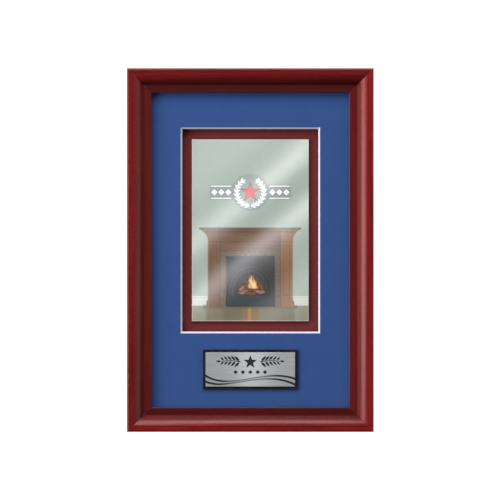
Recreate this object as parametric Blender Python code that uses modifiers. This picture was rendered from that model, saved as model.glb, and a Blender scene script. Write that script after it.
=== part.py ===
"""A framed award plaque that hangs on a wall, built piece by piece.

Four mitred mouldings make a wooden frame with a rabbet behind its front lip. The rabbet holds a
pack: a blue mat with a bevelled window, foam-board spacers, a maroon board that carries a glossy
print panel, and a hardboard back. Six turn buttons on screws hold the pack in. A sawtooth hanger
and two bumpers meet the wall, and a two-layer nameplate is taped to the mat.

The frame: X runs to the viewer's right, +Z is up, and the front faces -Y. The wall is the plane
y = 0, and the origin is where the wall's hook bears in the hanger's middle notch.
"""

import math

import bmesh
import bpy
from mathutils import Matrix

MM = 0.001
INCH = 0.0254
GAP = 0.3 * MM  # left between neighbours, so that no two solids touch

# The frame
FRAME_WIDTH = 9.5 * INCH
FRAME_HEIGHT = 14 * INCH
RAIL_WIDTH = 24 * MM  # outer edge to sight edge
RAIL_DEPTH = 22 * MM  # back face to crown
RABBET_WIDTH = 6 * MM
RABBET_DEPTH = 12.5 * MM
HOOK_BELOW_TOP = 13 * MM
WALL_GAP = 3.5 * MM  # wall to the back of the wood

# The moulding's profile, from its outer edge to its sight edge
BACK_CHAMFER = 0.6 * MM
OUTER_ROUND = 2 * MM
CROWN_END = 5.4 * MM
SHOULDER_ROUND = 12 * MM
SLOPE_DEGREES = 46
SLOPE_END = 15.2 * MM
COVE_ROUND = 1.4 * MM
RISE_ROUND = 8 * MM
RISE_DEGREES = 8
NOSE_ROUND = 0.7 * MM

# The pack in the rabbet: thicknesses, and how far its edges stay off the rabbet's walls
PACK_CLEARANCE = 1 * MM
BACKING_THICK = 3 * MM
BOARD_THICK = 1.5 * MM
SPACER_THICK = 4.8 * MM
MAT_THICK = 2 * MM
SPACER_WIDTH = 25 * MM
LOWER_SPACER_WIDTH = 68 * MM  # it also backs the nameplate

# The mat's window and the print panel, both centred above the middle of the frame
WINDOW_WIDTH = 137 * MM
WINDOW_HEIGHT = 202 * MM
WINDOW_RAISE = 19.3 * MM
PANEL_WIDTH = 4.5 * INCH
PANEL_HEIGHT = 7 * INCH
PANEL_THICK = 1.2 * MM
PANEL_TAPE_THICK = 1 * MM
PANEL_TAPE_WIDTH = 19 * MM
PANEL_TAPE_LENGTH = 158 * MM
PANEL_TAPE_SPREAD = 35 * MM

# The nameplate
NAMEPLATE_DROP = 116.7 * MM  # its centre, below the middle of the frame
NAMEPLATE_TAPE_THICK = 0.4 * MM
NAMEPLATE_TAPE_INSET = 5 * MM
BLACK_PLATE_WIDTH = 93 * MM
BLACK_PLATE_HEIGHT = 39 * MM
BLACK_PLATE_THICK = 0.8 * MM
SILVER_PLATE_WIDTH = 87.5 * MM
SILVER_PLATE_HEIGHT = 33.5 * MM
SILVER_PLATE_THICK = 0.5 * MM
PLATE_BEVEL = 0.25 * MM

# Turn buttons and their screws
BUTTON_RAISES = (-115 * MM, 0, 115 * MM)  # from the middle of the frame
BUTTON_PIVOT = 9 * MM  # from the frame's outer edge
BUTTON_THICK = 1 * MM
BUTTON_HUB_RADIUS = 4.6 * MM
BUTTON_TIP_RADIUS = 3.2 * MM
BUTTON_REACH = 15.3 * MM  # pivot to the middle of the rounded tip
BUTTON_HOLE_RADIUS = 1.85 * MM
BUTTON_BEVEL = 0.15 * MM
SCREW_RADIUS = 1.5 * MM
SCREW_LENGTH = 9.5 * MM
SCREW_TIP = 2.5 * MM
SCREW_HEAD_RADIUS = 3.2 * MM
SCREW_HEAD_THICK = 1.6 * MM
RECESS_WIDTH = 0.8 * MM
RECESS_LENGTH = 3.4 * MM
RECESS_DEPTH = 1 * MM

# V-nails across the mitres
V_NAIL_LEG = 4 * MM
V_NAIL_THICK = 0.5 * MM
V_NAIL_HALF_DEGREES = 50
V_NAIL_DEPTH = 7 * MM
V_NAIL_INSETS = (4 * MM, 10.5 * MM)  # each point's distance from the outer edges

# The sawtooth hanger and its nails
HANGER_HALF_LENGTH = 22 * MM
HANGER_BEND_START = 15 * MM
HANGER_BEND_END = 13.2 * MM
HANGER_HEIGHT = 8 * MM
HANGER_THICK = 0.7 * MM
HANGER_LIFT = 1.5 * MM
HANGER_HOLE_RADIUS = 1 * MM
TOOTH_PITCH = 2.6 * MM
TOOTH_COUNT = 9
TOOTH_DEPTH = 1.3 * MM
TOOTH_TRIM = 0.1 * MM  # off the teeth's tips, so that the cut runs all along the edge
NAIL_AT = 18.6 * MM
NAIL_RADIUS = 0.65 * MM
NAIL_LENGTH = 9 * MM
NAIL_HEAD_RADIUS = 1.7 * MM
NAIL_HEAD_THICK = 0.7 * MM

# Wall bumpers
BUMPER_RADIUS = 5.5 * MM
BUMPER_ROUND = 1.2 * MM
BUMPER_RAISE = 35 * MM  # from the frame's bottom edge
BUMPER_INSET = 9 * MM  # from the frame's outer edge

# Worked out from the above
TOP = HOOK_BELOW_TOP
BOTTOM = TOP - FRAME_HEIGHT
MIDDLE = (TOP + BOTTOM) / 2
WOOD_BACK = -WALL_GAP  # y of the wood's back face; a height h above it is at y = WOOD_BACK - h
PACK_WIDTH = FRAME_WIDTH - 2 * (RAIL_WIDTH - RABBET_WIDTH + PACK_CLEARANCE)
PACK_HEIGHT = FRAME_HEIGHT - 2 * (RAIL_WIDTH - RABBET_WIDTH + PACK_CLEARANCE)
BOARD_BACK = BACKING_THICK + GAP
SPACER_BACK = BOARD_BACK + BOARD_THICK + GAP
MAT_BACK = SPACER_BACK + SPACER_THICK + GAP
MAT_FRONT = MAT_BACK + MAT_THICK
PANEL_TAPE_BACK = BOARD_BACK + BOARD_THICK + GAP
PANEL_BACK = PANEL_TAPE_BACK + PANEL_TAPE_THICK + GAP
NAMEPLATE_TAPE_BACK = MAT_FRONT + GAP
BLACK_PLATE_BACK = NAMEPLATE_TAPE_BACK + NAMEPLATE_TAPE_THICK + GAP
SILVER_PLATE_BACK = BLACK_PLATE_BACK + BLACK_PLATE_THICK + GAP
WINDOW_MIDDLE = MIDDLE + WINDOW_RAISE
NAMEPLATE_MIDDLE = MIDDLE - NAMEPLATE_DROP
BUTTON_X = FRAME_WIDTH / 2 - BUTTON_PIVOT
BUTTON_FACE = WOOD_BACK + GAP  # y of a button's side that faces the wood

PARTS = "framed_award_plaque"
CUTTERS = "cutters"
ROUND_STEPS = 24


# Helpers

def clear_scene():
    for obj in list(bpy.data.objects):
        bpy.data.objects.remove(obj, do_unlink=True)


def new_collection(name):
    collection = bpy.data.collections.new(name)
    bpy.context.scene.collection.children.link(collection)
    return collection


def material(name, colour, roughness, metallic=0.0):
    made = bpy.data.materials.new(name)
    made.use_nodes = True
    shader = made.node_tree.nodes["Principled BSDF"]
    shader.inputs["Base Color"].default_value = (*colour, 1)
    shader.inputs["Roughness"].default_value = roughness
    shader.inputs["Metallic"].default_value = metallic
    made.diffuse_color = (*colour, 1)
    return made


def add_object(name, data, collection=PARTS, finish=None):
    obj = bpy.data.objects.new(name, data)
    bpy.data.collections[collection].objects.link(obj)
    if finish:
        data.materials.append(finish)
    return obj


def mesh_from(fill, name="shape"):
    """A new mesh, made by fill(bm)."""
    bm = bmesh.new()
    fill(bm)
    mesh = bpy.data.meshes.new(name)
    bm.to_mesh(mesh)
    bm.free()
    return mesh


def box_mesh(width, depth, height):
    """A box centred on its own origin: width along X, depth along Y, height along Z."""
    scale = Matrix.Diagonal((width, depth, height, 1))
    return mesh_from(lambda bm: bmesh.ops.create_cube(bm, size=1, matrix=scale))


def cylinder_mesh(radius, depth, steps=ROUND_STEPS):
    """A cylinder along Y, centred on its own origin."""
    turned = Matrix.Rotation(math.radians(90), 4, "X")
    return mesh_from(
        lambda bm: bmesh.ops.create_cone(
            bm, cap_ends=True, segments=steps, radius1=radius, radius2=radius, depth=depth, matrix=turned
        )
    )


def outline_mesh(outlines, thickness):
    """A flat outline in X and Y, with any further outlines as its holes, extruded evenly along Z."""
    curve = bpy.data.curves.new("outline", "CURVE")
    curve.dimensions = "2D"
    curve.fill_mode = "BOTH"
    curve.extrude = thickness / 2
    for points in outlines:
        spline = curve.splines.new("POLY")
        spline.points.add(len(points) - 1)
        for point, (x, y) in zip(spline.points, points):
            point.co = (x, y, 0, 1)
        spline.use_cyclic_u = True
        spline.use_smooth = False
    guide = add_object("outline", curve, CUTTERS)
    return applied(guide)


def applied(obj):
    """The mesh that obj and its modifiers make, welded. The object itself is removed."""
    bpy.context.view_layer.update()
    graph = bpy.context.evaluated_depsgraph_get()
    mesh = bpy.data.meshes.new_from_object(obj.evaluated_get(graph))
    bm = bmesh.new()
    bm.from_mesh(mesh)
    bmesh.ops.remove_doubles(bm, verts=bm.verts, dist=0.001 * MM)
    bmesh.ops.recalc_face_normals(bm, faces=bm.faces)
    bm.to_mesh(mesh)
    bm.free()
    bpy.data.objects.remove(obj, do_unlink=True)
    return mesh


def cutter(name, mesh, location=(0, 0, 0), rotation=(0, 0, 0)):
    obj = add_object(name, mesh, CUTTERS)
    obj.location = location
    obj.rotation_euler = rotation
    obj.hide_render = True
    obj.display_type = "WIRE"
    return obj


def cut(obj, tool):
    modifier = obj.modifiers.new(tool.name, "BOOLEAN")
    modifier.operation = "DIFFERENCE"
    modifier.solver = "EXACT"
    modifier.object = tool


def bevel(obj, width, segments=1):
    modifier = obj.modifiers.new("rounded_edges", "BEVEL")
    modifier.width = width
    modifier.segments = segments
    modifier.limit_method = "ANGLE"


def smooth(mesh, degrees=35):
    """Smooth shading, but for faces square to an axis, which stay flat so that cuts in them look clean."""
    mesh.shade_smooth()
    mesh.set_sharp_from_angle(angle=math.radians(degrees))
    for face in mesh.polygons:
        face.use_smooth = max(abs(part) for part in face.normal) < 0.9999


def turned_mesh(profile, steps=ROUND_STEPS):
    """A solid turned about Y. The profile is (radius, y) points from the axis and back to it."""
    mesh = bpy.data.meshes.new("profile")
    mesh.from_pydata([(r, y, 0) for r, y in profile], [(i, i + 1) for i in range(len(profile) - 1)], [])
    guide = add_object("turned", mesh, CUTTERS)
    screw = guide.modifiers.new("turn", "SCREW")
    screw.axis = "Y"
    screw.steps = steps
    screw.render_steps = steps
    screw.use_merge_vertices = True
    screw.merge_threshold = 0.001 * MM
    return applied(guide)


def arc(centre, radius, start, end, steps):
    """Points on an arc, from one angle in degrees to another."""
    angles = [math.radians(start + (end - start) * i / steps) for i in range(steps + 1)]
    return [(centre[0] + radius * math.cos(a), centre[1] + radius * math.sin(a)) for a in angles]


def slab(name, width, height, back, thickness, middle, finish, x=0):
    """A flat board facing the front: back is its back face's height above the wood's back face."""
    obj = add_object(name, box_mesh(width, thickness, height), finish=finish)
    obj.location = (x, WOOD_BACK - back - thickness / 2, middle)
    return obj


# The frame

def moulding_profile():
    """The moulding's section as (u, h): u from the outer edge inwards, h from the back face up."""
    slope = math.radians(SLOPE_DEGREES)
    rise = math.radians(RISE_DEGREES)
    crown_centre = (OUTER_ROUND, RAIL_DEPTH - OUTER_ROUND)
    shoulder_centre = (CROWN_END, RAIL_DEPTH - SHOULDER_ROUND)
    shoulder = arc(shoulder_centre, SHOULDER_ROUND, 90, 90 - SLOPE_DEGREES, 7)
    slope_foot = (SLOPE_END, shoulder[-1][1] - (SLOPE_END - shoulder[-1][0]) * math.tan(slope))
    cove_centre = (slope_foot[0] + COVE_ROUND * math.sin(slope), slope_foot[1] + COVE_ROUND * math.cos(slope))
    rise_centre = (cove_centre[0], cove_centre[1] - COVE_ROUND + RISE_ROUND)
    rise_end = (rise_centre[0] + RISE_ROUND * math.sin(rise), rise_centre[1] - RISE_ROUND * math.cos(rise))
    nose_start = RAIL_WIDTH - NOSE_ROUND * (1 + math.sin(rise))
    nose_height = rise_end[1] + (nose_start - rise_end[0]) * math.tan(rise)
    nose_centre = (RAIL_WIDTH - NOSE_ROUND, nose_height - NOSE_ROUND * math.cos(rise))
    points = [(BACK_CHAMFER, 0), (0, BACK_CHAMFER)]
    points += arc(crown_centre, OUTER_ROUND, 180, 90, 5)
    points += shoulder
    points += arc(cove_centre, COVE_ROUND, 270 - SLOPE_DEGREES, 270, 4)
    points += arc(rise_centre, RISE_ROUND, 270, 270 + RISE_DEGREES, 2)[1:]
    points += arc(nose_centre, NOSE_ROUND, 90 + RISE_DEGREES, 0, 4)
    points += [(RAIL_WIDTH, RABBET_DEPTH), (RAIL_WIDTH - RABBET_WIDTH, RABBET_DEPTH)]
    points += [(RAIL_WIDTH - RABBET_WIDTH, 0)]
    return points


def rail_mesh(length):
    """A bottom rail about the frame's middle: the profile extruded, and its ends sheared to 45 degrees."""
    mesh = outline_mesh([moulding_profile()], length)
    retreat = GAP / 2 * math.sqrt(2)
    for vertex in mesh.vertices:
        u, _, along = vertex.co
        vertex.co.z = math.copysign(length / 2 - u - retreat, along)
    # (u, h, along) becomes (along, -h, u): up from the outer edge, forward from the back.
    mesh.transform(Matrix(((0, 0, 1, 0), (0, -1, 0, 0), (1, 0, 0, 0), (0, 0, 0, 1))))
    return mesh


def make_frame(finish):
    """The four rails, each a bottom rail turned about the frame's middle."""
    rails = {}
    sides = {
        "frame_rail_bottom": (FRAME_WIDTH, FRAME_HEIGHT, 0),
        "frame_rail_left": (FRAME_HEIGHT, FRAME_WIDTH, 90),
        "frame_rail_top": (FRAME_WIDTH, FRAME_HEIGHT, 180),
        "frame_rail_right": (FRAME_HEIGHT, FRAME_WIDTH, 270),
    }
    for name, (length, across, turn) in sides.items():
        mesh = rail_mesh(length)
        mesh.transform(Matrix.Translation((0, 0, -across / 2)))
        smooth(mesh)
        rail = add_object(name, mesh, finish=finish)
        rail.location = (0, WOOD_BACK, MIDDLE)
        rail.rotation_euler.y = math.radians(turn)
        rails[name] = rail
    return rails


def v_outline(grow):
    """A V-nail's outline: two legs from a point on the mitre line, made grow wider on every side."""
    half = math.radians(V_NAIL_HALF_DEGREES)
    wide = V_NAIL_THICK / 2 + grow
    leg = V_NAIL_LEG + grow
    direction = (math.sin(half), math.cos(half))
    normal = (math.cos(half), -math.sin(half))
    outer = (direction[0] * leg + normal[0] * wide, direction[1] * leg + normal[1] * wide)
    inner = (direction[0] * leg - normal[0] * wide, direction[1] * leg - normal[1] * wide)
    right = [(0, -wide / math.sin(half)), outer, inner, (0, wide / math.sin(half))]
    return right + [(-x, y) for x, y in reversed(right[1:3])]


def make_v_nails(rails, finish):
    """Two V-nails across each mitre, driven in from the back, with their slots cut in both rails."""
    nail_mesh = outline_mesh([v_outline(0)], V_NAIL_DEPTH)
    nail_mesh.materials.append(finish)
    slot_mesh = outline_mesh([v_outline(GAP)], V_NAIL_DEPTH + 3 * GAP)
    corners = {"bottom_left": (-1, -1), "bottom_right": (1, -1), "top_left": (-1, 1), "top_right": (1, 1)}
    for corner, (side, end) in corners.items():
        neighbours = [rails["frame_rail_" + half] for half in corner.split("_")]
        for number, inset in enumerate(V_NAIL_INSETS, 1):
            place = Matrix.Translation(
                (
                    side * (FRAME_WIDTH / 2 - inset),
                    WOOD_BACK - GAP - V_NAIL_DEPTH / 2,
                    MIDDLE + end * (FRAME_HEIGHT / 2 - inset),
                )
            )
            # The V lies in the frame's plane, points at the corner and opens along the mitre.
            away_from_corner = math.atan2(-end, -side) - math.pi / 2
            turn = Matrix.Rotation(math.radians(90), 4, "X") @ Matrix.Rotation(away_from_corner, 4, "Z")
            name = f"v_nail_{corner}_{number}"
            nail = add_object(name, nail_mesh)
            nail.matrix_world = place @ turn
            slot = cutter(name + "_slot", slot_mesh)
            slot.matrix_world = Matrix.Translation((0, GAP / 2, 0)) @ place @ turn
            for rail in neighbours:
                cut(rail, slot)


# The pack

def make_mat(finish):
    """The top mat. Its window is cut at 45 degrees, so it is wider at the front than at the back."""
    mat = slab("blue_window_mat", PACK_WIDTH, PACK_HEIGHT, MAT_BACK, MAT_THICK, MIDDLE, finish)
    over = MAT_THICK / 2  # the cutter runs past both faces
    tool_mesh = box_mesh(1, MAT_THICK + 2 * over, 1)
    for vertex in tool_mesh.vertices:
        at_front = vertex.co.y < 0
        spread = over if at_front else -MAT_THICK - over
        vertex.co.x = math.copysign(WINDOW_WIDTH / 2 + spread, vertex.co.x)
        vertex.co.z = math.copysign(WINDOW_HEIGHT / 2 + spread, vertex.co.z)
    tool = cutter("window_bevel", tool_mesh, (0, WOOD_BACK - MAT_BACK - MAT_THICK / 2, WINDOW_MIDDLE))
    cut(mat, tool)


def make_spacers(finish):
    """Foam-board strips between the mat and the board behind it, butted at the corners."""
    side_height = PACK_HEIGHT - SPACER_WIDTH - LOWER_SPACER_WIDTH - 2 * GAP
    side_middle = MIDDLE + (LOWER_SPACER_WIDTH - SPACER_WIDTH) / 2
    side_x = (PACK_WIDTH - SPACER_WIDTH) / 2
    top_middle = MIDDLE + (PACK_HEIGHT - SPACER_WIDTH) / 2
    bottom_middle = MIDDLE - (PACK_HEIGHT - LOWER_SPACER_WIDTH) / 2
    slab("spacer_top", PACK_WIDTH, SPACER_WIDTH, SPACER_BACK, SPACER_THICK, top_middle, finish)
    slab("spacer_bottom", PACK_WIDTH, LOWER_SPACER_WIDTH, SPACER_BACK, SPACER_THICK, bottom_middle, finish)
    for side, x in (("left", -side_x), ("right", side_x)):
        name = "spacer_" + side
        slab(name, SPACER_WIDTH, side_height, SPACER_BACK, SPACER_THICK, side_middle, finish, x)


def make_pack(finishes):
    backing = slab("hardboard_back", PACK_WIDTH, PACK_HEIGHT, 0, BACKING_THICK, MIDDLE, finishes["hardboard"])
    bevel(backing, PLATE_BEVEL)
    slab("maroon_board", PACK_WIDTH, PACK_HEIGHT, BOARD_BACK, BOARD_THICK, MIDDLE, finishes["maroon"])
    make_spacers(finishes["foam_board"])
    make_mat(finishes["blue"])


def make_print_panel(finishes):
    for side, x in (("left", -PANEL_TAPE_SPREAD), ("right", PANEL_TAPE_SPREAD)):
        slab(
            "panel_tape_" + side,
            PANEL_TAPE_WIDTH,
            PANEL_TAPE_LENGTH,
            PANEL_TAPE_BACK,
            PANEL_TAPE_THICK,
            WINDOW_MIDDLE,
            finishes["tape"],
            x,
        )
    panel = slab(
        "print_panel", PANEL_WIDTH, PANEL_HEIGHT, PANEL_BACK, PANEL_THICK, WINDOW_MIDDLE, finishes["print"]
    )
    bevel(panel, PLATE_BEVEL)


def make_nameplate(finishes):
    slab(
        "nameplate_tape",
        BLACK_PLATE_WIDTH - 2 * NAMEPLATE_TAPE_INSET,
        BLACK_PLATE_HEIGHT - 2 * NAMEPLATE_TAPE_INSET,
        NAMEPLATE_TAPE_BACK,
        NAMEPLATE_TAPE_THICK,
        NAMEPLATE_MIDDLE,
        finishes["tape"],
    )
    black = slab(
        "nameplate_backplate",
        BLACK_PLATE_WIDTH,
        BLACK_PLATE_HEIGHT,
        BLACK_PLATE_BACK,
        BLACK_PLATE_THICK,
        NAMEPLATE_MIDDLE,
        finishes["black"],
    )
    bevel(black, PLATE_BEVEL)
    silver = slab(
        "nameplate_face",
        SILVER_PLATE_WIDTH,
        SILVER_PLATE_HEIGHT,
        SILVER_PLATE_BACK,
        SILVER_PLATE_THICK,
        NAMEPLATE_MIDDLE,
        finishes["silver"],
    )
    bevel(silver, PLATE_BEVEL)


# The hardware on the back

def button_mesh():
    """A round hub tapering to a smaller round tip, along +X, with the pivot hole at the origin."""
    lean = math.degrees(math.acos((BUTTON_HUB_RADIUS - BUTTON_TIP_RADIUS) / BUTTON_REACH))
    outline = arc((0, 0), BUTTON_HUB_RADIUS, lean, 360 - lean, 14)
    outline += arc((BUTTON_REACH, 0), BUTTON_TIP_RADIUS, -lean, lean, 10)
    hole = arc((0, 0), BUTTON_HOLE_RADIUS, 0, 360, ROUND_STEPS)[:-1]
    mesh = outline_mesh([outline, hole], BUTTON_THICK)
    # Stands the plate up in the frame's plane.
    mesh.transform(Matrix.Rotation(math.radians(90), 4, "X"))
    guide = add_object("button", mesh, CUTTERS)
    bevel(guide, BUTTON_BEVEL)
    made = applied(guide)
    smooth(made)
    return made


def screw_mesh():
    """A pan-head screw along Y: the head's underside is at the origin and the shank runs to -Y."""
    quarter = arc((0, 0), 1, 90, 0, 5)
    dome = [(SCREW_HEAD_RADIUS * x, SCREW_HEAD_THICK * y) for x, y in quarter]
    profile = dome + [
        (SCREW_RADIUS, 0),
        (SCREW_RADIUS, SCREW_TIP - SCREW_LENGTH),
        (0, -SCREW_LENGTH),
    ]
    guide = add_object("screw", turned_mesh(profile), CUTTERS)
    arms = []
    for name, (across, up) in {
        "recess_across": (RECESS_LENGTH, RECESS_WIDTH),
        "recess_up": (RECESS_WIDTH, RECESS_LENGTH),
    }.items():
        arms.append(cutter(name, box_mesh(across, 2 * RECESS_DEPTH, up), (0, SCREW_HEAD_THICK, 0)))
        cut(guide, arms[-1])
    made = applied(guide)
    for arm in arms:
        bpy.data.objects.remove(arm, do_unlink=True)
    smooth(made)
    return made


def make_turn_buttons(rails, finishes):
    """Three buttons on each side rail. Each turns about its own screw, and its tip holds the back in."""
    plate = button_mesh()
    plate.materials.append(finishes["zinc"])
    screw = screw_mesh()
    screw.materials.append(finishes["zinc"])
    hole = cylinder_mesh(SCREW_RADIUS + GAP, 2 * (SCREW_LENGTH + GAP), 16)
    for side, x, turn in (("left", -BUTTON_X, 0), ("right", BUTTON_X, 180)):
        for place, raise_by in zip(("lower", "middle", "upper"), BUTTON_RAISES):
            button = add_object(f"turn_button_{side}_{place}", plate)
            button.location = (x, BUTTON_FACE + BUTTON_THICK / 2, MIDDLE + raise_by)
            button.rotation_euler.y = math.radians(turn)
            head_under = BUTTON_FACE + BUTTON_THICK + GAP
            fastener = add_object(f"turn_button_screw_{side}_{place}", screw)
            fastener.location = (x, head_under, MIDDLE + raise_by)
            bore = cutter(f"screw_bore_{side}_{place}", hole, (x, head_under, MIDDLE + raise_by))
            cut(rails["frame_rail_" + side], bore)


def hanger_mesh():
    """A strip bent so that its middle stands off the wood, with teeth cut along its lower edge."""
    run = [
        (HANGER_HALF_LENGTH, 0),
        (HANGER_BEND_START, 0),
        (HANGER_BEND_END, HANGER_LIFT),
    ]
    near = run + [(-x, y) for x, y in reversed(run)]
    far = [(x, y + HANGER_THICK) for x, y in reversed(near)]
    # The outline is drawn in X and Y, so extruding it along Z gives the strip's height.
    guide = add_object("hanger", outline_mesh([near + far], HANGER_HEIGHT), CUTTERS)
    guide.location.z = HANGER_HEIGHT / 2 - TOOTH_DEPTH
    half_run = TOOTH_PITCH * TOOTH_COUNT / 2
    comb = [(-half_run, -2 * TOOTH_DEPTH)]
    for tooth in range(TOOTH_COUNT):
        start = -half_run + tooth * TOOTH_PITCH
        comb += [(start, TOOTH_TRIM - TOOTH_DEPTH), (start + TOOTH_PITCH / 2, 0)]
    comb += [(half_run, TOOTH_TRIM - TOOTH_DEPTH), (half_run, -2 * TOOTH_DEPTH)]
    upright = Matrix.Rotation(math.radians(90), 4, "X")
    teeth_mesh = outline_mesh([comb], 4 * HANGER_LIFT)
    teeth_mesh.transform(upright)
    tools = [cutter("teeth", teeth_mesh, (0, HANGER_LIFT, 0))]
    hole = cylinder_mesh(HANGER_HOLE_RADIUS, 4 * HANGER_THICK, 16)
    for side in (-1, 1):
        tools.append(cutter(f"nail_hole_{side}", hole, (side * NAIL_AT, 0, HANGER_HEIGHT / 2 - TOOTH_DEPTH)))
    for tool in tools:
        cut(guide, tool)
    guide.data.transform(Matrix.Translation((0, 0, guide.location.z)))
    guide.location.z = 0
    made = applied(guide)
    for tool in tools:
        bpy.data.objects.remove(tool, do_unlink=True)
    return made


def nail_mesh():
    """A round-headed nail along Y: the head's underside is at the origin and the shank runs to -Y."""
    profile = [
        (0, NAIL_HEAD_THICK),
        (0.6 * NAIL_HEAD_RADIUS, 0.9 * NAIL_HEAD_THICK),
        (NAIL_HEAD_RADIUS, 0.3 * NAIL_HEAD_THICK),
        (NAIL_HEAD_RADIUS, 0),
        (NAIL_RADIUS, 0),
        (NAIL_RADIUS, 2 * NAIL_RADIUS - NAIL_LENGTH),
        (0, -NAIL_LENGTH),
    ]
    made = turned_mesh(profile, 16)
    smooth(made)
    return made


def make_hanger(rails, finishes):
    hanger = add_object("sawtooth_hanger", hanger_mesh(), finish=finishes["brass"])
    hanger.location.y = WOOD_BACK + GAP
    nail = nail_mesh()
    nail.materials.append(finishes["brass"])
    bore_mesh = cylinder_mesh(NAIL_RADIUS + GAP, 2 * (NAIL_LENGTH + GAP), 12)
    for side, x in (("left", -NAIL_AT), ("right", NAIL_AT)):
        place = (x, WOOD_BACK + GAP + HANGER_THICK + GAP, HANGER_HEIGHT / 2 - TOOTH_DEPTH)
        pin = add_object("hanger_nail_" + side, nail)
        pin.location = place
        cut(rails["frame_rail_top"], cutter("nail_bore_" + side, bore_mesh, place))


def make_bumpers(finish):
    """Rubber pads that hold the lower end off the wall, flat where they meet it."""
    thick = WALL_GAP - GAP
    profile = [(0, thick)]
    profile += arc((BUMPER_RADIUS - BUMPER_ROUND, thick - BUMPER_ROUND), BUMPER_ROUND, 90, 0, 4)
    profile += [(BUMPER_RADIUS, 0), (0, 0)]
    mesh = turned_mesh(profile)
    mesh.materials.append(finish)
    smooth(mesh)
    for side, x in (("left", -1), ("right", 1)):
        bumper = add_object("wall_bumper_" + side, mesh)
        bumper.location = (x * (FRAME_WIDTH / 2 - BUMPER_INSET), WOOD_BACK + GAP, BOTTOM + BUMPER_RAISE)


def main():
    clear_scene()
    new_collection(PARTS)
    new_collection(CUTTERS)
    finishes = {
        "wood": material("mahogany_lacquer", (0.16, 0.014, 0.012), 0.25),
        "blue": material("blue_mat", (0.036, 0.082, 0.245), 0.9),
        "maroon": material("maroon_mat", (0.14, 0.033, 0.037), 0.9),
        "foam_board": material("foam_board", (0.85, 0.85, 0.83), 0.8),
        "hardboard": material("hardboard", (0.2, 0.11, 0.055), 0.8),
        "print": material("gloss_print", (0.45, 0.54, 0.49), 0.15),
        "tape": material("foam_tape", (0.8, 0.8, 0.78), 0.7),
        "black": material("black_plate", (0.012, 0.014, 0.02), 0.3),
        "silver": material("brushed_silver", (0.6, 0.6, 0.61), 0.35, 1),
        "zinc": material("zinc_plate", (0.6, 0.6, 0.6), 0.4, 1),
        "brass": material("brass_plate", (0.6, 0.42, 0.16), 0.35, 1),
        "rubber": material("bumper_rubber", (0.03, 0.03, 0.03), 0.8),
        "steel": material("v_nail_steel", (0.35, 0.35, 0.37), 0.4, 1),
    }
    rails = make_frame(finishes["wood"])
    make_v_nails(rails, finishes["steel"])
    make_pack(finishes)
    make_print_panel(finishes)
    make_nameplate(finishes)
    make_turn_buttons(rails, finishes)
    make_hanger(rails, finishes)
    make_bumpers(finishes["rubber"])


main()
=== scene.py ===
"""The looks of the framed award plaque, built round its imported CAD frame.

The CAD frame gives every place and size. The rails get their full moulding profile in lacquered
mahogany, the mat its white bevelled core, the print panel a painted fireplace and a laurel emblem,
and the nameplate its engraving. The hardware keeps its CAD shape, with plated finishes. The plaque
stands on a pale floor under soft studio lights.
"""

from math import cos, hypot, pi, radians, sin, sqrt, tan, tau

import bmesh
import bpy
from mathutils import Matrix, Vector
from mathutils.geometry import interpolate_bezier


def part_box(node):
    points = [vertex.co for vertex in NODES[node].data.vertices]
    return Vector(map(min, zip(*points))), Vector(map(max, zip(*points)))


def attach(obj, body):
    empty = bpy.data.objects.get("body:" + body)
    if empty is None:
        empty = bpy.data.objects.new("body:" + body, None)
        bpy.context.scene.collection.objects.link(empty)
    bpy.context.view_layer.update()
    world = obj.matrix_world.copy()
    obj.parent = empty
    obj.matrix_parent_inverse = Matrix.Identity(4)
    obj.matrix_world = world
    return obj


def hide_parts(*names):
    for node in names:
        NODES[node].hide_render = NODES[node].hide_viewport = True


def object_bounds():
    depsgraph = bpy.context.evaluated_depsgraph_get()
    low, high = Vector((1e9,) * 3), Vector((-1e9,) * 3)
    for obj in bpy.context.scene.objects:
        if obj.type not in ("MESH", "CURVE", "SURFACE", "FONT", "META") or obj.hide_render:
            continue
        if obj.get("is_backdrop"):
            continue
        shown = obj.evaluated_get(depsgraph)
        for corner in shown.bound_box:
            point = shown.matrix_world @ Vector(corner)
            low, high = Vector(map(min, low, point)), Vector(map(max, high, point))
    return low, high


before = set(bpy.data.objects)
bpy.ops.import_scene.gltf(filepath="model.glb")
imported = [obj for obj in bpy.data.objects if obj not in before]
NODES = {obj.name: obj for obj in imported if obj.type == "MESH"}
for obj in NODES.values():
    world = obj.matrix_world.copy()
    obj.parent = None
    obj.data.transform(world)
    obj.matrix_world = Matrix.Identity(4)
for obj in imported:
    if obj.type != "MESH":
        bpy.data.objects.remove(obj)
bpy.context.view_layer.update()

MM = 0.001

# The moulding's profile, as the CAD rails have it, from the outer edge to the sight edge
RAIL_WIDTH = 24 * MM
RAIL_DEPTH = 22 * MM
RABBET_WIDTH = 6 * MM
RABBET_DEPTH = 12.5 * MM
BACK_CHAMFER = 0.6 * MM
OUTER_ROUND = 2 * MM
CROWN_END = 5.4 * MM
SHOULDER_ROUND = 12 * MM
SLOPE_DEGREES = 46
SLOPE_END = 15.2 * MM
COVE_ROUND = 1.4 * MM
RISE_ROUND = 8 * MM
RISE_DEGREES = 8
NOSE_ROUND = 0.7 * MM
MITRE_GAP = 0.004 * MM
MITRE_EASE = 0.12 * MM  # the rounding that glue-up and sanding leave along a mitre
FRONT, BARE, OUTSIDE, COVE = range(4)  # the finishes of a rail's faces

# What is cut in the rails
SCREW_RADIUS = 1.5 * MM
NAIL_RADIUS = 0.65 * MM
BORE_CLEARANCE = 0.1 * MM
BORE_OVERRUN = 0.3 * MM
SLOT_CLEARANCE = 0.12 * MM

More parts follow.
